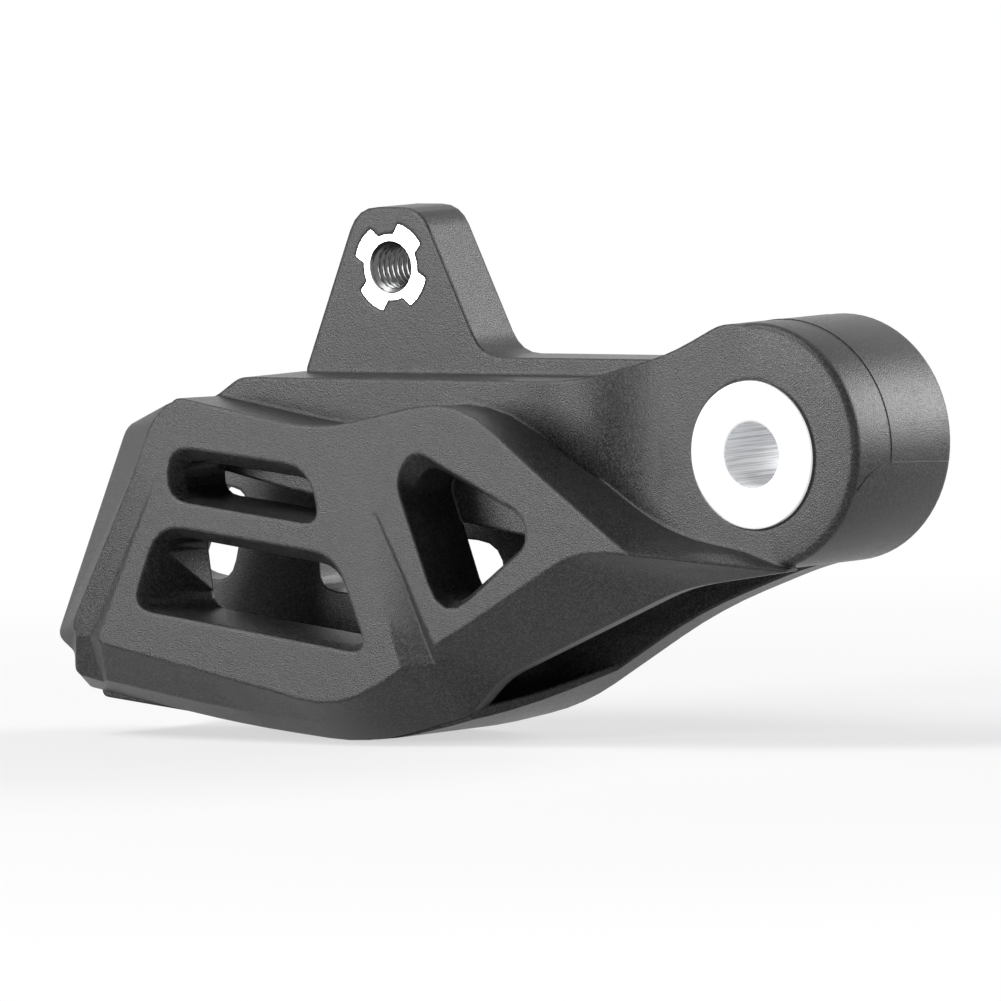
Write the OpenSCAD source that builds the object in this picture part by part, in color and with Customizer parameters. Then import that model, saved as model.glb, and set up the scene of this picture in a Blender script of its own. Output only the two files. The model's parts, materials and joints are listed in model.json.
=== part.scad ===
// Chain guide for an off-road motorbike: one moulded body that holds the chain between two
// walls, a pressed-in sleeve for the fixing bolt and a threaded insert in the upper tab.
// Millimetres. X runs along the chain towards the fixing boss, Y from the near side to the far
// side, Z up. The origin is the centre of the boss face, on the axis of the sleeve.

/* [Sleeve] */
// Bore of the sleeve for the fixing bolt
sleeve_bore = 10; // [6:0.5:14]
// Outside diameter of the sleeve
sleeve_d = 23; // [18:0.5:26]
// How far each end of the sleeve stands proud of the boss
sleeve_proud = 0.8; // [0.2:0.1:2]
// Chamfer on the edges of the sleeve
sleeve_chamfer = 0.5; // [0.2:0.1:1]
// Clearance round each metal piece in the moulding
seat_gap = 0.03; // [0.01:0.01:0.1]

/* [Boss] */
// Outside diameter of the boss
boss_d = 38.2; // [32:0.2:44]
// Length of the boss along the sleeve, which is also how far back the far wall reaches
boss_len = 25.5; // [22:0.5:30]
// How far the boss is set forward of the sleeve axis
boss_shift_x = 0.4; // [0:0.1:1.5]
// How far the boss is set above the sleeve axis
boss_shift_z = 1.2; // [0:0.1:2]
// Radius of the rounded rims of the boss
boss_rim = 1.2; // [0.5:0.1:2]

/* [Walls and channel] */
// Clear width of the channel that the chain runs in
channel_w = 17.5; // [16:0.5:20]
// Thickness of the far wall
far_wall = 5.5; // [4:0.5:7]
// Thickness of the near wall with its outer shell
near_wall = 13; // [11:0.5:15]
// Thickness of the floor below the chain
floor_t = 2.4; // [2:0.1:4]
// Thickness of the lower edge of the near wall
edge_t = 3; // [2:0.5:5]

/* [Outline] */
// Distance from the sleeve axis back to the open mouth
reach = 132; // [126:1:140]
// Depth of the lowest point of the floor below the sleeve axis
depth = 46; // [43:0.5:50]
// Height of the roof above the sleeve axis
roof_h = 10.7; // [9.8:0.1:12]
// Height of the rail behind the roof
rail_h = 13.4; // [12.5:0.1:14]
// How far the side of the roof lies behind the boss face
roof_back = 2; // [1:0.5:3]
// How far the hollow of the arm lies behind the boss face
scoop_back = 3.9; // [3:0.1:5]

/* [Tab] */
// Thickness of the fixing tab and of the rail that carries it
tab_t = 10.5; // [8:0.5:12]
// Height of the top of the tab
tab_h = 36.7; // [34:0.1:42]
// Width of the flat top of the tab between its corners
tab_top_w = 12.3; // [11:0.1:18]
// Width of the tab where it leaves the rail
tab_foot_w = 34.6; // [30:0.1:40]
// Distance of the threaded insert back from the sleeve axis
insert_x = 80.1; // [75:0.1:85]
// Height of the threaded insert above the sleeve axis
insert_z = 27.3; // [25:0.1:28]

/* [Threaded insert] */
// Wall diameter of the M8 hole, which is the crest diameter of its thread
thread_crest_d = 6.7; // [6:0.1:7]
// Mouth diameter of the countersunk thread ends
thread_mouth_d = 8.3; // [8:0.1:9]
// Diameter of the neck between the lobes
insert_neck_d = 10.4; // [9.4:0.1:11]
// Diameter over the lobes
insert_lobe_d = 14; // [12:0.1:15]
// Angle that each lobe spans
lobe_angle = 43; // [30:1:55]
// Angle of the first lobe above the X axis
lobe_turn = 54; // [0:1:89]

/* [Windows] */
// Depth of the wide bevel round each window
bevel_depth = 3; // [2:0.5:4]
// Depth of the step beside the lip at the mouth
lip_step = 2; // [0.8:0.1:2.4]
// Depth of the crease behind the front window
crease_depth = 1.8; // [0.6:0.1:2.2]

/* [Hidden] */
$fn = 64;
corner_steps = 4;
overlap = 0.5;
clear_of = 0.6;
lobe_root = 0.8;
lobe_tip = 1.3;
past = 5;
wide = 400;

far_in = boss_len - far_wall;
near_in = far_in - channel_w;
near_face = near_in - near_wall;
edge_y = near_in - edge_t;
flare_y = near_face + 5;
tab_front = boss_len - tab_t;
boss_r = boss_d / 2;
body_colour = [0.16, 0.16, 0.165];
metal_colour = [0.86, 0.87, 0.88];

// A rounded corner b between a and c, drawn as a curve that starts `cut` away from the corner
function corner(a, b, c, cut) =
    let (reach_a = norm(a - b), reach_c = norm(c - b), run = min(cut, 0.48 * reach_a, 0.48 * reach_c))
    let (p = b + (a - b) * run / reach_a, q = b + (c - b) * run / reach_c)
    [for (k = [0:corner_steps]) let (t = k / corner_steps)
        p * (1 - t) * (1 - t) + b * 2 * t * (1 - t) + q * t * t];

// A closed outline from corners [x, z, cut], each one rounded
function outline(list) =
    let (n = len(list), at = [for (p = list) [p[0], p[1]]])
    [for (i = [0:n - 1]) each corner(at[(i + n - 1) % n], at[i], at[(i + 1) % n], list[i][2])];

// A solid through rings of as many points each, counter-clockwise as seen from before the first
module skin(rings) {
    count = len(rings[0]);
    last = len(rings) - 1;
    polyhedron(
        points = [for (ring = rings) each ring],
        faces = concat(
            [[for (i = [count - 1:-1:0]) i]],
            [[for (i = [0:count - 1]) last * count + i]],
            [for (s = [0:last - 1]) for (i = [0:count - 1])
                [s * count + i, s * count + (i + 1) % count, (s + 1) * count + (i + 1) % count]],
            [for (s = [0:last - 1]) for (i = [0:count - 1])
                [s * count + i, (s + 1) * count + (i + 1) % count, (s + 1) * count + i]]));
}

// A solid through outlines across the guide: a list of [y, points]
module loft(sections) {
    skin([for (s = sections) [for (p = s[1]) [p[0], s[0], p[1]]]]);
}

// A plate with the outline given in X and Z, from y0 to y1
module plate(points, y0, y1) {
    translate([0, y1, 0]) rotate([90, 0, 0]) linear_extrude(height = y1 - y0) polygon(points);
}

// A round bar along Y, from y0 to y1
module bar(radius, y0, y1) {
    translate([0, y1, 0]) rotate([90, 0, 0]) cylinder(r = radius, h = y1 - y0);
}

// Corners of the near shell: [x and z on the face, x and z at the back, cut, depth of the back]
band_deep = edge_y - near_face;
flare_deep = flare_y - near_face;
wall_deep = near_wall;
shell = [
    [-reach + 7.3, -depth + 16.4, -reach + 1.3, -depth + 7.8, 1.2, flare_deep + lip_step],
    [-99, -depth + 11.3, -100, -depth + 2.4, 10, (flare_deep + band_deep) / 2],
    [-73.4, -depth + 5.8, -75, -depth - 0.2, 8, band_deep],
    [-57.1, -31.2, -55.4, -depth + 4.7, 1.5, band_deep],
    [-53.1, -29.0, -49.4, -35.5, 3, band_deep],
    [-27.1, -14.7, -13.9, -20.7, 5, band_deep],
    [-16.7, -15.0, 6.5, -17.8, 1, band_deep],
    [-17.3, -14.5, 1.8, -15.0, 1.5, wall_deep],
    [-18.1, -13.8, -13.5, -12.6, 6, wall_deep],
    [-34.2, -2.4, -32.5, -4.0, 6, wall_deep],
    [-48.8, roof_h - 1.7, -52.0, roof_h - 2.6, 9, wall_deep],
    [-76.2, roof_h - 7.2, -76.6, roof_h - 7.7, 7, wall_deep],
    [-103.4, roof_h - 2.4, -105.0, roof_h - 2.9, 1.2, wall_deep],
    [-reach + 23.6, roof_h - 6.3, -reach + 14.8, roof_h - 7.3, 1.8, flare_deep],
    [-reach + 8, -depth + 19.5, -reach - 0.3, -depth + 16.1, 1.5, flare_deep],
    [-reach + 7.4, -depth + 17.7, -reach + 3, -depth + 13.6, 0.8, flare_deep]];

// The outline of the near shell at the height y
function shell_at(y) = outline([for (c = shell)
    let (t = min(1, (y - near_face) / c[5]))
    [c[0] + (c[2] - c[0]) * t, c[1] + (c[3] - c[1]) * t, c[4]]]);

// The block between roof and chain, with the arm that runs on to the boss
ceiling = [
    [-reach + 13, roof_h - 11.4, 1],
    [-88, -7.5, 6],
    [-58, -11.2, 6],
    [-24, -17.3, 5],
    [-7, -18.9, 4]];
arm_side = outline(concat(ceiling, [
    [boss_shift_x, -boss_r + boss_shift_z + 0.4, 1],
    [boss_shift_x + boss_r / 2, 0, 1],
    [boss_shift_x, boss_r + boss_shift_z - 0.6, 1],
    [-5, boss_r + boss_shift_z, 5],
    [-16.5, 14.8, 6],
    [-36, roof_h, 6],
    [-100.4, roof_h, 1.5],
    [-105, roof_h - 2.9, 1],
    [-reach + 15, roof_h - 7.3, 1.5]]));
arm_plan = outline([
    [-reach - past, roof_back, 1],
    [-47, roof_back, 5],
    [-35, scoop_back, 7],
    [-21.5, 0, 5],
    [boss_r + past, 0, 1],
    [boss_r + past, boss_len, 1],
    [-reach - past, boss_len, 1]]);

// The far wall below the roof
lower_edge = [
    [-reach + 4, -depth + 6.2, 2],
    [-74, -depth - 0.1, 8],
    [-52.5, -depth + 4.5, 7],
    [-25.5, -26, 9],
    [-6.5, -19.3, 4]];
far_side = outline(concat(lower_edge, [
    [boss_shift_x, -boss_r + boss_shift_z + 0.3, 1],
    [-6, 0, 1],
    [-90, roof_h - 3.5, 1],
    [-105, roof_h - 2.9, 1],
    [-reach + 13.5, roof_h - 7, 2],
    [-reach - 1, -depth + 18, 3]]));

// The floor: a strip as thick as the floor that follows the lower edge
floor_taper = [1, 1, 0.7, 0.1, 0.1];
floor_side = outline(concat(
    lower_edge,
    [for (i = [len(lower_edge) - 1:-1:0]) lower_edge[i] + [0, floor_t * floor_taper[i], 0]]));
floor_plan = [
    [-reach - past, edge_y + overlap],
    [-55.5, edge_y + overlap],
    [-54.5, near_in],
    [-42, far_in],
    [-41, far_in + overlap],
    [-reach - past, far_in + overlap]];

// The windows of the near wall: corners on the face, at the foot of the bevel and at the back
slot_face = [[-106, -7.8, 4.5], [-75.7, -11.5, 4], [-78.2, -2.2, 4.5], [-105.2, 0.7, 5]];
slot_foot = [[-104.4, -7.6, 2.8], [-77.4, -10.8, 3], [-79.6, -4.3, 2.4], [-104.2, -1.5, 2.8]];
low_face = [[-113.6, -25, 4], [-67.2, -31.4, 4], [-73.2, -15.9, 4.5], [-107.9, -11.6, 5]];
low_foot = [[-111.8, -25, 2.5], [-69.4, -30.4, 3.4], [-74.9, -17.8, 3.5], [-107.4, -13.5, 3]];
low_back = [[-106.9, -25.6, 2.5], [-69.4, -30.4, 3.4], [-74.9, -17.8, 3.5], [-108.4, -13.4, 3]];
front_face = [
    [-52.8, -26.5, 7],
    [-35.8, -13.7, 2.5],
    [-36.6, -9.0, 3.5],
    [-57.7, 0.9, 4],
    [-61.2, -4.1, 3]];
front_foot = [
    [-53.4, -24.8, 5],
    [-38.0, -13.6, 2.2],
    [-39.4, -9.3, 2.5],
    [-56.4, -1.6, 2.8],
    [-60.0, -5.6, 1.6]];

// The windows of the far wall
mouth_window = [
    [-reach + 5, -21.5, 3],
    [-117.2, -23.4, 4],
    [-113.2, -8.6, 3],
    [-reach + 11, -7.3, 3]];
long_window = [[-99.8, -23.8, 3], [-63.4, -27.6, 5], [-63.3, -16.0, 5], [-99.6, -13.4, 4]];

// The step beside the lip, as rows of [x, z, share of the step, depth of the shell] down its edge
lip_line = [[-106.7, -1.9, -0.1, 0], [-119.1, -27, 0.7, 0], [-120.5, -29.8, 0.8, 0],
    [-121, -38.8, 1, 5], [-121.6, -50, 1.1, 11.2]];
lip_slope = 1.7;

// The recess of the lip, which deepens towards the floor
module lip_cut() {
    skin([for (p = lip_line)
        let (deep = p[2] * lip_step, surface = near_face + p[3])
        [[p[0] + lip_slope * (clear_of + p[3]), near_face - clear_of, p[1]],
            [p[0] - lip_slope * deep, surface + deep, p[1]],
            [-reach - past, surface + deep, p[1]],
            [-reach - past, near_face - clear_of, p[1]]]]);
}

// The crease as rows of [left x, groove x, right x, z, share of its depth]
crease_line = [[-66.2, -65.1, -65, -9.4, 0.05], [-65.6, -60.9, -59.8, -19, 0.5],
    [-62.9, -57.6, -55.1, -28.5, 1], [-61, -55.4, -51.9, -34, 1.2]];

// The near wall with its outer shell, before its windows
module near_shell() {
    intersection() {
        loft([for (y = [near_face - clear_of, flare_y, edge_y, near_in + clear_of]) [y, shell_at(y)]]);
        translate([-wide / 2, near_face, -wide / 2]) cube([wide, near_wall, wide]);
    }
}

// A window through the near wall: a bevel that narrows from the face to its foot, then the wall
module shell_window(face, foot, back) {
    mouth = [for (i = [0:len(face) - 1]) face[i] + (face[i] - foot[i]) * clear_of / bevel_depth];
    loft([
        [near_face - clear_of, outline(mouth)],
        [near_face + bevel_depth, outline(foot)],
        [near_in + overlap / 2, outline(back)]]);
}

// The crease on the near face, between the low window and the front window
module crease() {
    skin([for (p = crease_line)
        let (deep = p[4] * crease_depth, out = clear_of / deep)
        [[p[2] + (p[2] - p[1]) * out, near_face - clear_of, p[3]],
            [p[1], near_face + deep, p[3]],
            [p[0] - (p[1] - p[0]) * out, near_face - clear_of, p[3]]]]);
}

module boss() {
    translate([boss_shift_x, boss_len, boss_shift_z]) rotate([90, 0, 0])
        rotate_extrude()
            polygon(concat(
                [[0, 0]],
                [for (a = [-90:15:0]) [boss_r - boss_rim + boss_rim * cos(a), boss_rim + boss_rim * sin(a)]],
                [for (a = [0:15:90])
                    [boss_r - boss_rim + boss_rim * cos(a), boss_len - boss_rim + boss_rim * sin(a)]],
                [[0, boss_len]]));
}

// The tab with the rail that carries it along the far side
module tab() {
    foot_left = -insert_x - tab_foot_w / 2;
    foot_right = -insert_x + tab_foot_w / 2;
    plate(outline([
        [foot_left + 3, roof_h - 3, 1],
        [-8, roof_h - 3, 1],
        [-14, rail_h, 2],
        [foot_right, rail_h, 3.8],
        [-insert_x + tab_top_w / 2, tab_h, 3.6],
        [-insert_x - tab_top_w / 2, tab_h, 4],
        [foot_left, roof_h, 1]]), tab_front, boss_len);
}

module far_side_wall() {
    difference() {
        plate(far_side, far_in, boss_len);
        plate(outline(mouth_window), far_in - past, boss_len + past);
        plate(outline(long_window), far_in - past, boss_len + past);
    }
}

module chain_floor() {
    intersection() {
        plate(floor_side, edge_y, boss_len);
        translate([0, 0, -wide / 2]) linear_extrude(height = wide) polygon(floor_plan);
    }
}

// The block above the chain and the arm, with the hollow beside the boss
module arm() {
    intersection() {
        plate(arm_side, 0, boss_len);
        translate([0, 0, -wide / 2]) linear_extrude(height = wide) polygon(arm_plan);
    }
}

// Outline of the insert: a neck with four lobes, grown by `gap`
module insert_profile(gap) {
    circle(d = insert_neck_d + 2 * gap);
    intersection() {
        circle(d = insert_lobe_d + 2 * gap);
        for (a = [0:90:270]) rotate(lobe_turn + a) {
            half = insert_lobe_d / 2 * sin(lobe_angle / 2) + gap;
            polygon([[0, -half * lobe_root], [insert_lobe_d, -half * lobe_tip],
                [insert_lobe_d, half * lobe_tip], [0, half * lobe_root]]);
        }
    }
}

module insert_bar(gap, y0, y1) {
    translate([-insert_x, y1, insert_z]) rotate([90, 0, 0])
        linear_extrude(height = y1 - y0) insert_profile(gap);
}

module guide_body() {
    color(body_colour) difference() {
        union() {
            difference() {
                near_shell();
                shell_window(slot_face, slot_foot, slot_foot);
                shell_window(low_face, low_foot, low_back);
                shell_window(front_face, front_foot, front_foot);
                crease();
                lip_cut();
            }
            arm();
            boss();
            tab();
            far_side_wall();
            chain_floor();
        }
        bar(sleeve_d / 2 + seat_gap, -past, boss_len + past);
        insert_bar(seat_gap, tab_front - past, boss_len + past);
    }
}

module sleeve() {
    half_bore = sleeve_bore / 2;
    half_od = sleeve_d / 2;
    length = boss_len + 2 * sleeve_proud;
    color(metal_colour) translate([0, boss_len + sleeve_proud, 0]) rotate([90, 0, 0])
        rotate_extrude() polygon([
            [half_bore, sleeve_chamfer],
            [half_bore + sleeve_chamfer, 0],
            [half_od - sleeve_chamfer, 0],
            [half_od, sleeve_chamfer],
            [half_od, length - sleeve_chamfer],
            [half_od - sleeve_chamfer, length],
            [half_bore + sleeve_chamfer, length],
            [half_bore, length - sleeve_chamfer]]);
}

module threaded_insert() {
    sink = (thread_mouth_d - thread_crest_d) / 2;
    color(metal_colour) difference() {
        insert_bar(0, tab_front, boss_len);
        translate([-insert_x, 0, insert_z]) {
            bar(thread_crest_d / 2, tab_front - past, boss_len + past);
            translate([0, tab_front + sink, 0]) rotate([90, 0, 0])
                cylinder(r1 = thread_crest_d / 2, r2 = thread_mouth_d / 2, h = sink);
            translate([0, boss_len, 0]) rotate([90, 0, 0])
                cylinder(r1 = thread_mouth_d / 2, r2 = thread_crest_d / 2, h = sink);
        }
    }
}

guide_body();
sleeve();
threaded_insert();
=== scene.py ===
"""Looks of the motorcycle chain guide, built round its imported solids.

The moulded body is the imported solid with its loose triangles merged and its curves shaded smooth.
The sleeve and the threaded insert are turned anew with finer chamfers and a cut thread.
"""

import json
import math

import bmesh
import bpy
from mathutils import Matrix, Vector


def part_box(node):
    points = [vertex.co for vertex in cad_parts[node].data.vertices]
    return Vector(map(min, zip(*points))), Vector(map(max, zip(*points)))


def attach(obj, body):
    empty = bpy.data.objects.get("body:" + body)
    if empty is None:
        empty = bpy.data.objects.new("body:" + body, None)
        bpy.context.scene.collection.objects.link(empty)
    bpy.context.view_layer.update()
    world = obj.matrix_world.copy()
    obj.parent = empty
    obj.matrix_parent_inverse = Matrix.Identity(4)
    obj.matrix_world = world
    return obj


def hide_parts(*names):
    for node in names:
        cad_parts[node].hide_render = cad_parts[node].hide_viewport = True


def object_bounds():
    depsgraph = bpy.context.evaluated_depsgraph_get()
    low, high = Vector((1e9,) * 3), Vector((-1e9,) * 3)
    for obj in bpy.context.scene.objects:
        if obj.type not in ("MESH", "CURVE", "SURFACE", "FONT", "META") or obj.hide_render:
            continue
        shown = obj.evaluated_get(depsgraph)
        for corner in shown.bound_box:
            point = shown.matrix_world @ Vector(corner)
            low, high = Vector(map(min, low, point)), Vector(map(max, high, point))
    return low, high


bl_info = {
    "name": "Motorcycle chain guide",
    "version": (1, 0, 0),
    "blender": (4, 5, 0),
    "location": "3D View > Sidebar > Chain guide",
    "description": "Dresses the packed chain guide and sets its studio",
    "category": "Object",
}

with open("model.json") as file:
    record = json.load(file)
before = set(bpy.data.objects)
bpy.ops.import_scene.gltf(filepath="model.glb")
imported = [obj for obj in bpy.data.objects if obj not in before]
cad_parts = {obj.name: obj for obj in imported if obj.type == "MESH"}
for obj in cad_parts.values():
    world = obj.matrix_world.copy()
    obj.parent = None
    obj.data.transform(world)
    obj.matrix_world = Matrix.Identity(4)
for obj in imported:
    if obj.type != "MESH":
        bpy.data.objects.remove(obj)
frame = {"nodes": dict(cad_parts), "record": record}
FIRST_BOX = [list(corner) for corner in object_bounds()]
BODY = "root"
MM = 0.001

# Distances in metres below which points of a mesh are one
CLOSE = 2e-6
CLOSEST = 1e-7

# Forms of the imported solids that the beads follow
BOSS_RADIUS = 19.1 * MM
BOSS_RISE = 1.2 * MM
TAB_TOP = 12.3 * MM
TAB_FOOT = 34.6 * MM
RAIL_TOP = 13.4 * MM

# Joints of the mould on the boss: angles in degrees above the X axis
JOINT_ANGLE = -8
CROWN_END = 122
CROWN_STEP = 3
CROWN_LEAN = 0.006 * MM
BACK_DROP = 2.5
FRONT_DROP = 3
FRONT_CURL = 9
NEAR_RIM = 1.4 * MM
FAR_RIM = 1.3 * MM

# Edges that stay sharp, by the angle at which the surface turns
BEAD_SHARP = math.radians(60)
SLEEVE_SHARP = math.radians(24)
THREAD_SHARP = math.radians(38)

# Grain of the plastic: noise per metre, depth of the pits, share of the plain colour
CLOUD_SCALE = 55.0
SCUFF_SCALE = 420.0
PIT_DEPTH = 0.03 * MM
DARK_SHARE = 0.25
PALE_SHARE = 4.0

# Marks on the metal: noise per metre, depth of the lines, share of the plain colour, which also paints
# shade into the bore and the thread
RING_SCALE = 3000.0
LINE_SCALE = 3600.0
LINE_STRETCH = 40.0
LINE_DEPTH = 0.01 * MM
# Share of the plain colour for the scratch lines in the bore, and for the painted shade over the whole
# bore
SCRATCH_AND_SHADE_SHARE = 0.3
PATCH_SCALE = 700.0
# Share of the plain colour painted inside the thread as painted shade
THREAD_PAINTED_SHADE = 0.16

# The sleeve's outer and inner edge, in chamfers: how far off the wall, and how far off the end
OUTER_EDGE = ((0, 0.6), (0.25, 0.18), (0.7, 0))
INNER_EDGE = ((1, 0), (0.3, 0.3), (0, 1))
SLEEVE_STEPS = 160

# The insert: width of a lobe at its root and tip, and the flat and the flank of a thread's tooth
LOBE_ROOT = 0.8
LOBE_TIP = 1.3
LOBE_FILLET = 0.5 * MM
TOOTH_FLAT = 0.25
TOOTH_FLANK = 0.625
INSERT_STEPS = 256
THREAD_ROWS = 132
EDGE_BREAK = 0.06 * MM
INSERT_PROUD = 0.03 * MM

# The studio: lights as name, place from the guide's middle, width, height and watts
LIGHTS = (
    ("front softbox", (-0.6, -1.0, 0.17), 0.42, 0.4, 11.5),
    ("high softbox", (-0.35, -0.55, 0.9), 0.6, 0.6, 9.0),
    ("back softbox", (0.62, 0.88, 0.34), 0.8, 0.6, 14.0),
)
WORLD_LEVEL = 0.12
FLOOR_REACH = 6.0
FLOOR_DROP = 0.2 * MM
FLOOR_LIFT = 0.6
SHADOW_NEAR = 0.1
SHADOW_FAR = 0.4
WHITE = (1, 1, 1, 1)
CAMERA_AIM = (-48.69 * MM, 0, -7.745 * MM)
SENSOR = 36.0


def mount(name):
    """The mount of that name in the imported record."""
    return next(m for m in frame["record"]["mounts"] if m["name"] == name)


# Properties


class MouldingLook(bpy.types.PropertyGroup):
    """Colour and surface of the moulded plastic."""

    colour: bpy.props.FloatVectorProperty(
        name="Plastic colour",
        description="Colour of the moulded plastic",
        subtype="COLOR",
        size=3,
        min=0,
        max=1,
        default=(0.02, 0.02, 0.0208),
    )
    grain: bpy.props.FloatProperty(
        name="Grain", description="Size of the moulded grain", unit="LENGTH", default=0.2 * MM
    )
    edge_radius: bpy.props.FloatProperty(
        name="Edge radius", description="Radius that the edges show", unit="LENGTH", default=0.8 * MM
    )
    smooth_angle: bpy.props.FloatProperty(
        name="Smooth angle",
        description="Edges flatter than this are shaded smooth",
        subtype="ANGLE",
        default=math.radians(17),
    )
    flash_radius: bpy.props.FloatProperty(
        name="Flash", description="Radius of the bead along the mould's joints", unit="LENGTH",
        default=0.13 * MM,
    )
    parting_depth: bpy.props.FloatProperty(
        name="Parting depth",
        description="How far behind the boss face the mould parts",
        unit="LENGTH",
        default=9.2 * MM,
    )


class MetalLook(bpy.types.PropertyGroup):
    """Colour and sizes of the sleeve and the threaded insert."""

    colour: bpy.props.FloatVectorProperty(
        name="Metal colour",
        description="Colour of the bright metal",
        subtype="COLOR",
        size=3,
        min=0,
        max=1,
        default=(0.9, 0.905, 0.915),
    )
    chamfer: bpy.props.FloatProperty(
        name="Chamfer", description="Chamfer at the ends of the sleeve", unit="LENGTH", default=0.6 * MM
    )
    pitch: bpy.props.FloatProperty(
        name="Thread pitch", description="Pitch of the M8 thread", unit="LENGTH", default=1.25 * MM
    )
    root_radius: bpy.props.FloatProperty(
        name="Thread root", description="Radius at the root of the thread", unit="LENGTH",
        default=4.0 * MM,
    )
    mouth_radius: bpy.props.FloatProperty(
        name="Thread mouth", description="Radius of the countersunk ends", unit="LENGTH",
        default=4.15 * MM,
    )
    neck_radius: bpy.props.FloatProperty(
        name="Neck", description="Radius between the lobes", unit="LENGTH", default=5.2 * MM
    )
    lobe_radius: bpy.props.FloatProperty(
        name="Lobes", description="Radius over the lobes", unit="LENGTH", default=7.0 * MM
    )
    lobe_angle: bpy.props.FloatProperty(
        name="Lobe angle", description="Angle that each lobe spans", subtype="ANGLE",
        default=math.radians(43),
    )
    lobe_turn: bpy.props.FloatProperty(
        name="Lobe turn", description="Angle of the first lobe above the X axis", subtype="ANGLE",
        default=math.radians(54),
    )


class StageLook(bpy.types.PropertyGroup):
    """Camera angle and light of the studio."""

    azimuth: bpy.props.FloatProperty(
        name="Azimuth", description="Angle of the camera round the guide", subtype="ANGLE",
        default=math.radians(36.87),
    )
    elevation: bpy.props.FloatProperty(
        name="Elevation", description="Angle of the camera above the guide", subtype="ANGLE",
        default=math.radians(3.65),
    )
    roll: bpy.props.FloatProperty(
        name="Roll", description="Tilt of the camera about its own axis", subtype="ANGLE",
        default=math.radians(-1.64),
    )
    distance: bpy.props.FloatProperty(
        name="Distance", description="Distance of the camera", unit="LENGTH", default=3.0
    )
    span: bpy.props.FloatProperty(
        name="Span", description="Width that the picture covers", unit="LENGTH", default=154.95 * MM
    )
    floor_colour: bpy.props.FloatVectorProperty(
        name="Floor colour",
        description="Colour of the pale floor",
        subtype="COLOR",
        size=3,
        min=0,
        max=1,
        default=(0.8, 0.8, 0.8),
    )


# Node trees


class Socket:
    """A value in a node tree. Arithmetic on it adds Math nodes."""

    def __init__(self, tree, socket):
        self.tree = tree
        self.socket = socket

    def math(self, operation, *values):
        return self.tree.node("ShaderNodeMath", {"operation": operation}, dict(enumerate(values)))

    def __add__(self, other):
        return self.math("ADD", self, other)

    def __radd__(self, other):
        return self.math("ADD", other, self)

    def __sub__(self, other):
        return self.math("SUBTRACT", self, other)

    def __rsub__(self, other):
        return self.math("SUBTRACT", other, self)

    def __mul__(self, other):
        return self.math("MULTIPLY", self, other)

    def root(self):
        return self.math("SQRT", self)

    def least(self, other):
        return self.math("MINIMUM", self, other)

    def step(self, low, high):
        """0 below low, 1 above high, smooth between."""
        return self.tree.node(
            "ShaderNodeMapRange",
            {"interpolation_type": "SMOOTHSTEP"},
            {"Value": self, "From Min": low, "From Max": high},
        )


class Tree:
    """Adds nodes to a material, a world or a geometry tree."""

    def __init__(self, tree):
        self.tree = tree

    def node(self, kind, settings=None, inputs=None, out=0):
        """A node of that kind with its settings, then its inputs, as the Socket of its output."""
        made = self.tree.nodes.new(kind)
        for name, value in (settings or {}).items():
            setattr(made, name, value)
        for key, value in (inputs or {}).items():
            if isinstance(value, Socket):
                self.tree.links.new(value.socket, made.inputs[key])
            else:
                made.inputs[key].default_value = value
        return Socket(self, made.outputs[out]) if len(made.outputs) else None

    def blend(self, factor, first, second):
        """A colour between two colours."""
        return self.node(
            "ShaderNodeMix", {"data_type": "RGBA"}, {0: factor, 6: first, 7: second}, out=2
        )

    def noise(self, place, scale, detail=2.0, roughness=0.5):
        return self.node(
            "ShaderNodeTexNoise",
            None,
            {"Vector": place, "Scale": scale, "Detail": detail, "Roughness": roughness},
        )

    def cells(self, place, scale, out):
        """Distance (out 0) or random colour (out 1) of the cell that holds the place."""
        return self.node("ShaderNodeTexVoronoi", None, {"Vector": place, "Scale": scale}, out)

    def place(self):
        """The point on the surface, in the object's own coordinates."""
        return self.node("ShaderNodeTexCoord", out=3)

    def parts(self, vector):
        """The three components of a vector."""
        made = self.tree.nodes.new("ShaderNodeSeparateXYZ")
        self.tree.links.new(vector.socket, made.inputs[0])
        return [Socket(self, o) for o in made.outputs]

    def vector(self, x, y, z):
        return self.node("ShaderNodeCombineXYZ", None, {0: x, 1: y, 2: z})


def new_material(name):
    """An empty material and its tree."""
    material = bpy.data.materials.new(name)
    material.use_nodes = True
    material.node_tree.nodes.clear()
    return material, Tree(material.node_tree)


def opaque(colour, share=1.0):
    """That share of a colour, with its alpha."""
    return (*(c * share for c in colour), 1.0)


# Materials


def moulded_plastic(look):
    """Black moulded plastic with a fine grain and softly rounded edges."""
    material, tree = new_material("moulded plastic")
    place = tree.place()
    cloud = tree.noise(place, CLOUD_SCALE, 3.0)
    pits = tree.cells(place, 1 / look.grain, 0)
    speck = tree.parts(tree.cells(place, 1 / look.grain, 1))[0]
    scuff = tree.noise(place, SCUFF_SCALE, 4.0, 0.65).step(0.56, 0.74)
    dark, pale = (opaque(look.colour, share) for share in (DARK_SHARE, PALE_SHARE))
    colour = tree.blend(cloud * 0.08 + scuff * 0.08 + speck * speck * 0.55, dark, pale)
    rounded = tree.node("ShaderNodeBevel", {"samples": 12}, {"Radius": look.edge_radius})
    normal = tree.node(
        "ShaderNodeBump",
        None,
        {"Strength": 1.0, "Distance": PIT_DEPTH, "Height": pits, "Normal": rounded},
    )
    surface = tree.node(
        "ShaderNodeBsdfPrincipled",
        None,
        {
            "Base Color": colour,
            "Roughness": 0.24 + cloud * 0.08 + scuff * 0.08 + speck * 0.16,
            "IOR": 1.5,
            "Specular IOR Level": 0.3,
            "Normal": normal,
        },
    )
    tree.node("ShaderNodeOutputMaterial", None, {0: surface})
    return material


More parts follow.
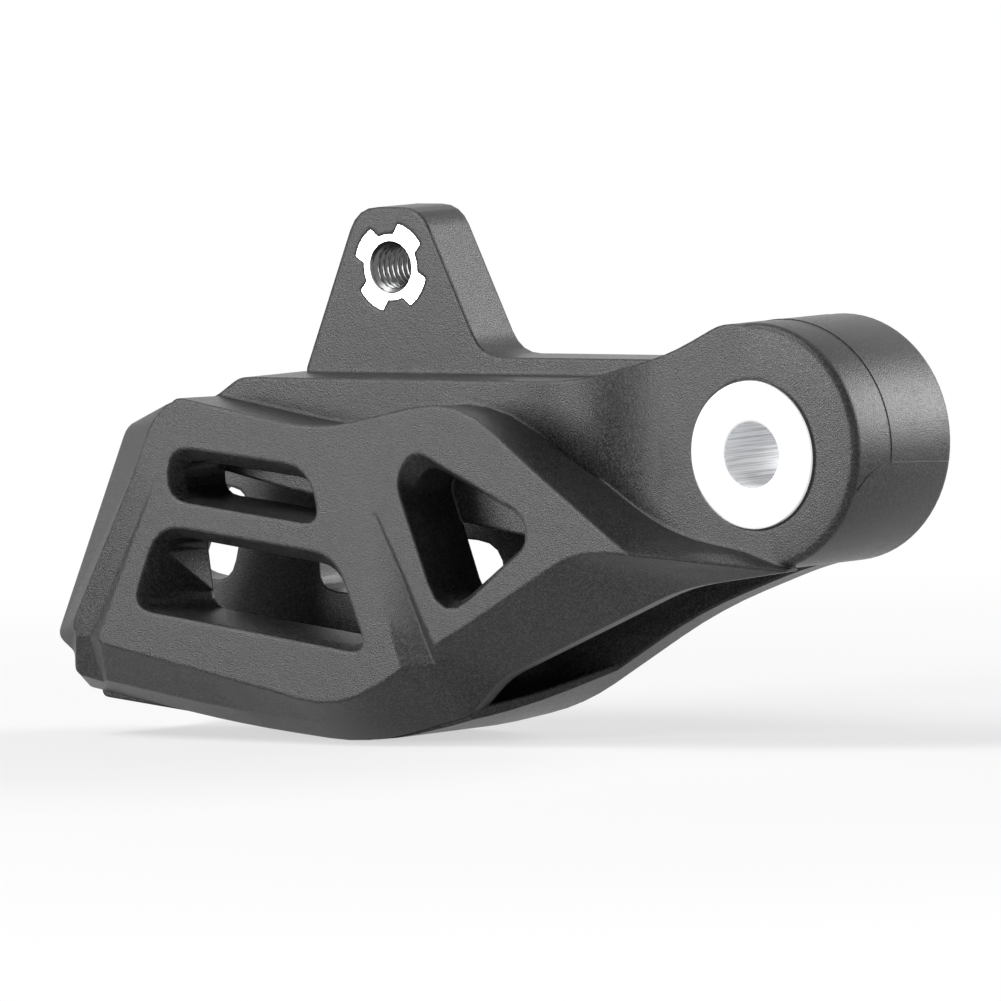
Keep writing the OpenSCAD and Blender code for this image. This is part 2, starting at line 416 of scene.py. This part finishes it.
def turned_metal(look, bore_radius):
    """Bright turned metal: rings on the end faces, fine lines along the bore, and painted shade that
    darkens the whole bore a little.
    """
    material, tree = new_material("turned metal")
    place = tree.place()
    x, y, z = tree.parts(place)
    radius = (x * x + z * z).root()
    rings = tree.noise(tree.vector(radius * RING_SCALE, 0.0, 0.0), 1.0, 3.0, 0.7)
    stretched = tree.vector(x * LINE_SCALE, y * LINE_STRETCH, z * LINE_SCALE)
    lines = tree.noise(stretched, 1.0, 3.0, 0.65)
    inside = 1 - radius.step(bore_radius + 0.05 * MM, bore_radius + 0.25 * MM)
    marks = rings * (1 - inside) + lines * inside
    streak = lines.step(0.46, 0.62) * inside
    # The whole bore is painted slightly darker as painted shade; the streaks are scratch lines
    scratched_and_shaded = opaque(look.colour, SCRATCH_AND_SHADE_SHARE)
    colour = tree.blend(inside * 0.1 + streak * 0.4, opaque(look.colour), scratched_and_shaded)
    normal = tree.node(
        "ShaderNodeBump", None, {"Strength": 0.35, "Distance": LINE_DEPTH, "Height": marks}
    )
    surface = tree.node(
        "ShaderNodeBsdfPrincipled",
        None,
        {
            "Base Color": colour,
            "Metallic": 1.0,
            "Roughness": 0.26 + marks * 0.14 + inside * 0.35,
            "Normal": normal,
        },
    )
    tree.node("ShaderNodeOutputMaterial", None, {0: surface})
    return material


def machined_metal(look):
    """Bright machined metal of the threaded insert, painted darker inside the thread as painted shade.
    """
    material, tree = new_material("machined metal")
    hole = Vector(mount("tab_thread")["pos_m"])
    place = tree.place()
    x, _, z = tree.parts(place)
    across, up = x - hole.x, z - hole.z
    inside = 1 - (across * across + up * up).root().step(look.root_radius, look.mouth_radius)
    patch = tree.noise(place, PATCH_SCALE, 3.0)
    # Inside the thread the colour is painted darker: painted shade in the thread's hollow
    shaded = opaque(look.colour, THREAD_PAINTED_SHADE)
    surface = tree.node(
        "ShaderNodeBsdfPrincipled",
        None,
        {
            "Base Color": tree.blend(inside, opaque(look.colour), shaded),
            "Metallic": 1.0,
            "Roughness": 0.22 + patch * 0.16,
        },
    )
    tree.node("ShaderNodeOutputMaterial", None, {0: surface})
    return material


# Meshes


def new_piece(name, mesh, material):
    """An object at the origin that shows the mesh."""
    mesh.materials.clear()
    mesh.materials.append(material)
    piece = bpy.data.objects.new(name, mesh)
    bpy.context.scene.collection.objects.link(piece)
    return piece


def place_piece(piece, slot, *nodes):
    """Hides the nodes that the piece stands for and ties the piece to its body. The slot is not used.
    """
    if nodes:
        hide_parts(*nodes)
    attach(piece, BODY)


def smooth_shading(mesh, angle):
    """Shades smooth where the surface turns by less than the angle, sharp elsewhere."""
    work = bmesh.new()
    work.from_mesh(mesh)
    for face in work.faces:
        face.smooth = True
    for edge in work.edges:
        if len(edge.link_faces) == 2:
            edge.smooth = edge.calc_face_angle(0.0) < angle
    work.to_mesh(mesh)
    work.free()


def ring_mesh(name, rings):
    """A closed mesh through rings of points that loop back to the first ring."""
    count = len(rings[0])
    rows = len(rings)
    faces = []
    for row in range(rows):
        for i in range(count):
            after, above = (i + 1) % count, (row + 1) % rows
            faces.append(
                (row * count + i, row * count + after, above * count + after, above * count + i)
            )
    mesh = bpy.data.meshes.new(name)
    mesh.from_pydata([p for ring in rings for p in ring], [], faces)
    outward(mesh)
    return mesh


def outward(mesh):
    """Points every face of a closed mesh outwards."""
    work = bmesh.new()
    work.from_mesh(mesh)
    bmesh.ops.remove_doubles(work, verts=work.verts, dist=CLOSEST)
    bmesh.ops.recalc_face_normals(work, faces=work.faces)
    work.to_mesh(mesh)
    work.free()


def merged_copy(node):
    """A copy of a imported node's mesh with its loose triangles joined."""
    mesh = frame["nodes"][node].data.copy()
    mesh.name = node + " looks"
    work = bmesh.new()
    work.from_mesh(mesh)
    bmesh.ops.remove_doubles(work, verts=work.verts, dist=CLOSE)
    bmesh.ops.dissolve_degenerate(work, edges=work.edges, dist=CLOSEST)
    work.to_mesh(mesh)
    work.free()
    return mesh


def flash_tree(radius, material):
    """A geometry tree that turns the edges of a mesh into thin beads."""
    group = bpy.data.node_groups.new("flash bead", "GeometryNodeTree")
    group.interface.new_socket("Geometry", in_out="INPUT", socket_type="NodeSocketGeometry")
    size = group.interface.new_socket("Radius", in_out="INPUT", socket_type="NodeSocketFloat")
    size.default_value = radius
    group.interface.new_socket("Geometry", in_out="OUTPUT", socket_type="NodeSocketGeometry")
    tree = Tree(group)
    entry = group.nodes.new("NodeGroupInput")
    path = Socket(tree, entry.outputs["Geometry"])
    given = Socket(tree, entry.outputs["Radius"])
    curve = tree.node("GeometryNodeMeshToCurve", None, {"Mesh": path})
    profile = tree.node("GeometryNodeCurvePrimitiveCircle", None, {"Resolution": 8, "Radius": given})
    bead = tree.node(
        "GeometryNodeCurveToMesh", None, {"Curve": curve, "Profile Curve": profile, "Fill Caps": True}
    )
    real = tree.node("GeometryNodeRealizeInstances", None, {"Geometry": bead})
    done = tree.node("GeometryNodeSetMaterial", None, {"Geometry": real, "Material": material})
    tree.node("NodeGroupOutput", None, {"Geometry": done})
    return group, size.identifier


def plain_mesh(piece):
    """The piece's evaluated mesh, without its modifiers."""
    graph = bpy.context.evaluated_depsgraph_get()
    return bpy.data.meshes.new_from_object(piece.evaluated_get(graph))


def bead_paths(look):
    """The lines of the mould's joints on the boss and on the tab's edge, as lists of points."""
    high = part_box("guide_body")[1]
    centre_x = high.x - BOSS_RADIUS

    def on_boss(angle, y):
        turn = math.radians(angle)
        return (
            centre_x + BOSS_RADIUS * math.cos(turn),
            y,
            BOSS_RISE + BOSS_RADIUS * math.sin(turn),
        )

    depth = look.parting_depth
    crown = [
        on_boss(angle, depth - (angle - JOINT_ANGLE) * CROWN_LEAN)
        for angle in range(JOINT_ANGLE, CROWN_END, CROWN_STEP)
    ]
    shares = [k / 10 for k in range(11)]
    back = [
        on_boss(JOINT_ANGLE - BACK_DROP * share, depth + (high.y - FAR_RIM - depth) * share)
        for share in shares
    ]
    front = [
        on_boss(
            JOINT_ANGLE - FRONT_DROP * share - FRONT_CURL * share**3,
            depth - (depth - NEAR_RIM) * share,
        )
        for share in shares
    ]
    corner = Vector((mount("tab_thread")["pos_m"][0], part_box("threaded_insert")[0].y, 0))
    top = corner + Vector((TAB_TOP / 2, 0, high.z))
    foot = corner + Vector((TAB_FOOT / 2, 0, RAIL_TOP))
    tab_edge = [tuple(top.lerp(foot, 0.14 + 0.7 * k / 12)) for k in range(13)]
    return [crown, back, front, tab_edge]


# Operators


class GUIDE_OT_moulded_body(bpy.types.Operator):
    """Shows the moulded body with its grain and smooth curves"""

    bl_idname = "guide.moulded_body"
    bl_label = "Moulded body"

    def execute(self, context):
        look = context.scene.moulding_look
        mesh = merged_copy("guide_body")
        smooth_shading(mesh, look.smooth_angle)
        piece = new_piece("moulded_body", mesh, moulded_plastic(look))
        place_piece(piece, "moulded_plastic", "guide_body")
        return {"FINISHED"}


class GUIDE_OT_mould_flash(bpy.types.Operator):
    """Lays the thin beads that the joints of the mould leave on the boss and the tab"""

    bl_idname = "guide.mould_flash"
    bl_label = "Mould flash"

    def execute(self, context):
        look = context.scene.moulding_look
        points, edges = [], []
        for path in bead_paths(look):
            edges += [(len(points) + i, len(points) + i + 1) for i in range(len(path) - 1)]
            points += path
        lines = bpy.data.meshes.new("flash lines")
        lines.from_pydata(points, edges, [])
        material = bpy.data.materials["moulded plastic"]
        draft = new_piece("flash_draft", lines, material)
        group, radius_input = flash_tree(look.flash_radius, material)
        modifier = draft.modifiers.new("bead", "NODES")
        modifier.node_group = group
        modifier[radius_input] = look.flash_radius
        mesh = plain_mesh(draft)
        bpy.data.objects.remove(draft)
        outward(mesh)
        smooth_shading(mesh, BEAD_SHARP)
        piece = new_piece("mould_flash", mesh, material)
        place_piece(piece, "moulded_plastic")
        return {"FINISHED"}


class GUIDE_OT_sleeve(bpy.types.Operator):
    """Turns the metal sleeve with its chamfers"""

    bl_idname = "guide.sleeve"
    bl_label = "Sleeve"

    def execute(self, context):
        look = context.scene.metal_look
        low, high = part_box("sleeve")
        bore = mount("sleeve_bore")["dims"]["r_mm"] * MM
        outer = (high.z - low.z) / 2
        cut = look.chamfer
        profile = []
        for y, away in ((low.y, 1), (high.y, -1)):
            ends = [(outer - cut * off, y + away * cut * up) for off, up in OUTER_EDGE]
            ends += [(bore + cut * off, y + away * cut * up) for off, up in INNER_EDGE]
            profile += ends if away > 0 else ends[::-1]
        turns = [2 * math.pi * i / SLEEVE_STEPS for i in range(SLEEVE_STEPS)]
        rings = [[(r * math.cos(a), y, r * math.sin(a)) for a in turns] for r, y in profile]
        mesh = ring_mesh("sleeve looks", rings)
        smooth_shading(mesh, SLEEVE_SHARP)
        piece = new_piece("turned_sleeve", mesh, turned_metal(look, bore))
        place_piece(piece, "sleeve_metal", "sleeve")
        return {"FINISHED"}


def soft_most(first, second, reach):
    """The larger of two values, rounded where they meet within reach."""
    near = max(0.0, reach - abs(first - second)) / reach
    return max(first, second) + near * near * reach / 4


def lobed_radius(angle, look):
    """Outer radius of the insert at an angle: a neck with four lobes whose sides flare outwards."""
    quarter = math.pi / 2
    off = abs((angle - look.lobe_turn + quarter / 2) % quarter - quarter / 2)
    half = look.lobe_radius * math.sin(look.lobe_angle / 2)
    flare = (LOBE_TIP - LOBE_ROOT) * half / (2 * look.lobe_radius)
    run = math.sin(off) - flare * math.cos(off)
    side = LOBE_ROOT * half / run if run > 0.01 else 2 * look.lobe_radius
    lobe = -soft_most(-look.lobe_radius, -side, LOBE_FILLET)
    return soft_most(look.neck_radius, lobe, LOBE_FILLET)


class GUIDE_OT_threaded_insert(bpy.types.Operator):
    """Cuts the insert with its four lobes and its M8 thread"""

    bl_idname = "guide.threaded_insert"
    bl_label = "Threaded insert"

    def execute(self, context):
        look = context.scene.metal_look
        low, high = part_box("threaded_insert")
        hole = mount("tab_thread")
        centre = Vector(hole["pos_m"])
        crest = hole["dims"]["r_mm"] * MM
        start = low.y - INSERT_PROUD
        turns = [2 * math.pi * i / INSERT_STEPS for i in range(INSERT_STEPS)]

        def ring(radius_at, y):
            return [
                (centre.x + radius_at(a) * math.cos(a), y, centre.z + radius_at(a) * math.sin(a))
                for a in turns
            ]

        def thread_radius(a, y):
            turn = ((y - low.y) / look.pitch + a / (2 * math.pi)) % 1.0
            tooth = min(1.0, max(0.0, (abs(turn - 0.5) * 2 - TOOTH_FLAT) / TOOTH_FLANK))
            end = max(0.0, min(y - low.y, high.y - y))
            cone = look.mouth_radius - end
            return max(crest + (look.root_radius - crest) * tooth, cone)

        rings = [
            ring(lambda a: lobed_radius(a, look), high.y - EDGE_BREAK),
            ring(lambda a: lobed_radius(a, look), low.y + EDGE_BREAK),
            ring(lambda a: lobed_radius(a, look) - EDGE_BREAK, start),
        ]
        for row in range(THREAD_ROWS + 1):
            y = start + (high.y - start) * row / THREAD_ROWS
            rings.append(ring(lambda a, y=y: thread_radius(a, y), y))
        rings.append(ring(lambda a: lobed_radius(a, look) - EDGE_BREAK, high.y))
        mesh = ring_mesh("threaded insert looks", rings)
        smooth_shading(mesh, THREAD_SHARP)
        piece = new_piece("cut_insert", mesh, machined_metal(look))
        place_piece(piece, "insert_metal", "threaded_insert")
        return {"FINISHED"}


# Stage


def floor_mesh(height):
    """A square floor at that height, with its middle above or below the origin."""
    turns = ((-1, -1), (1, -1), (1, 1), (-1, 1))
    corners = [(x * FLOOR_REACH, y * FLOOR_REACH, height) for x, y in turns]
    mesh = bpy.data.meshes.new("floor")
    mesh.from_pydata(corners, [], [tuple(range(len(corners)))])
    return mesh


def seen_mask(tree):
    """1 for camera, glossy and transmission rays."""
    path = tree.tree.nodes.new("ShaderNodeLightPath")
    camera, glossy, through = (
        Socket(tree, path.outputs[name])
        for name in ("Is Camera Ray", "Is Glossy Ray", "Is Transmission Ray")
    )
    return (camera + glossy + through).least(1.0)


def floor_material(colour, centre):
    """Pale floor that shows white to the camera, and keeps the shadow close to the guide."""
    material, tree = new_material("pale floor")
    x, y, _ = tree.parts(tree.place())
    across, along = x - centre.x, y - centre.y
    far = (across * across + along * along).root().step(SHADOW_NEAR, SHADOW_FAR)
    lift = FLOOR_LIFT + far * (1 - FLOOR_LIFT)
    matte = tree.node("ShaderNodeBsdfDiffuse", None, {"Color": opaque(colour)})
    white = tree.node("ShaderNodeEmission", None, {"Color": WHITE, "Strength": 1.0})
    mixed = tree.node("ShaderNodeMixShader", None, {0: seen_mask(tree) * lift, 1: matte, 2: white})
    tree.node("ShaderNodeOutputMaterial", None, {0: mixed})
    return material


def soft_light(name, place, aim, width, height, watts):
    """A rectangular studio light at a place, aimed at a point."""
    data = bpy.data.lights.new(name, "AREA")
    data.shape = "RECTANGLE"
    data.size = width
    data.size_y = height
    data.energy = watts
    light = bpy.data.objects.new(name, data)
    bpy.context.scene.collection.objects.link(light)
    light.location = place
    light.rotation_mode = "QUATERNION"
    light.rotation_quaternion = (Vector(aim) - Vector(place)).to_track_quat("-Z", "Y")


class GUIDE_OT_stage(bpy.types.Operator):
    """Lays the floor and sets the lights and the camera"""

    bl_idname = "guide.stage"
    bl_label = "Stage"

    def execute(self, context):
        look = context.scene.stage_look
        low, high = (Vector(corner) for corner in FIRST_BOX)
        middle = (low + high) / 2
        mesh = floor_mesh(low.z - FLOOR_DROP)
        floor = new_piece("floor", mesh, floor_material(look.floor_colour, middle))
        world = bpy.data.worlds.new("studio")
        context.scene.world = world
        world.use_nodes = True
        world.node_tree.nodes.clear()
        tree = Tree(world.node_tree)
        level = WORLD_LEVEL + seen_mask(tree) * (1 - WORLD_LEVEL)
        sky = tree.node("ShaderNodeBackground", None, {"Color": WHITE, "Strength": level})
        tree.node("ShaderNodeOutputWorld", None, {0: sky})
        for name, offset, width, height, watts in LIGHTS:
            soft_light(name, middle + Vector(offset), middle, width, height, watts)
        self.camera(context, look)
        context.scene.view_settings.view_transform = "Standard"
        return {"FINISHED"}

    def camera(self, context, look):
        """Sets the camera at the photograph's angle."""
        data = bpy.data.cameras.new("camera")
        data.sensor_width = SENSOR
        data.lens = SENSOR * look.distance / look.span
        data.clip_start = 0.1
        data.clip_end = 50.0
        camera = bpy.data.objects.new("camera", data)
        context.scene.collection.objects.link(camera)
        back = Vector(
            (
                math.sin(look.azimuth) * math.cos(look.elevation),
                -math.cos(look.azimuth) * math.cos(look.elevation),
                math.sin(look.elevation),
            )
        )
        turn = (-back).to_track_quat("-Z", "Y").to_matrix().to_4x4()
        roll = Matrix.Rotation(look.roll, 4, "Z")
        spot = Vector(CAMERA_AIM) + back * look.distance
        camera.matrix_world = Matrix.Translation(spot) @ turn @ roll
        context.scene.camera = camera


class GUIDE_PT_sidebar(bpy.types.Panel):
    """Lists the pieces of the chain guide"""

    bl_label = "Chain guide"
    bl_idname = "GUIDE_PT_sidebar"
    bl_space_type = "VIEW_3D"
    bl_region_type = "UI"
    bl_category = "Chain guide"

    def draw(self, context):
        for step in STEPS:
            self.layout.operator(step.bl_idname)


STEPS = (
    GUIDE_OT_moulded_body,
    GUIDE_OT_mould_flash,
    GUIDE_OT_sleeve,
    GUIDE_OT_threaded_insert,
    GUIDE_OT_stage,
)
LOOKS = {"moulding_look": MouldingLook, "metal_look": MetalLook, "stage_look": StageLook}


def register():
    for group in (*LOOKS.values(), *STEPS, GUIDE_PT_sidebar):
        bpy.utils.register_class(group)
    for name, group in LOOKS.items():
        setattr(bpy.types.Scene, name, bpy.props.PointerProperty(type=group))


def unregister():
    for name in LOOKS:
        delattr(bpy.types.Scene, name)
    for group in (GUIDE_PT_sidebar, *reversed(STEPS), *LOOKS.values()):
        bpy.utils.unregister_class(group)


def main():
    register()
    for step in STEPS:
        area, name = step.bl_idname.split(".")
        getattr(getattr(bpy.ops, area), name)()


if __name__ == "__main__":
    main()
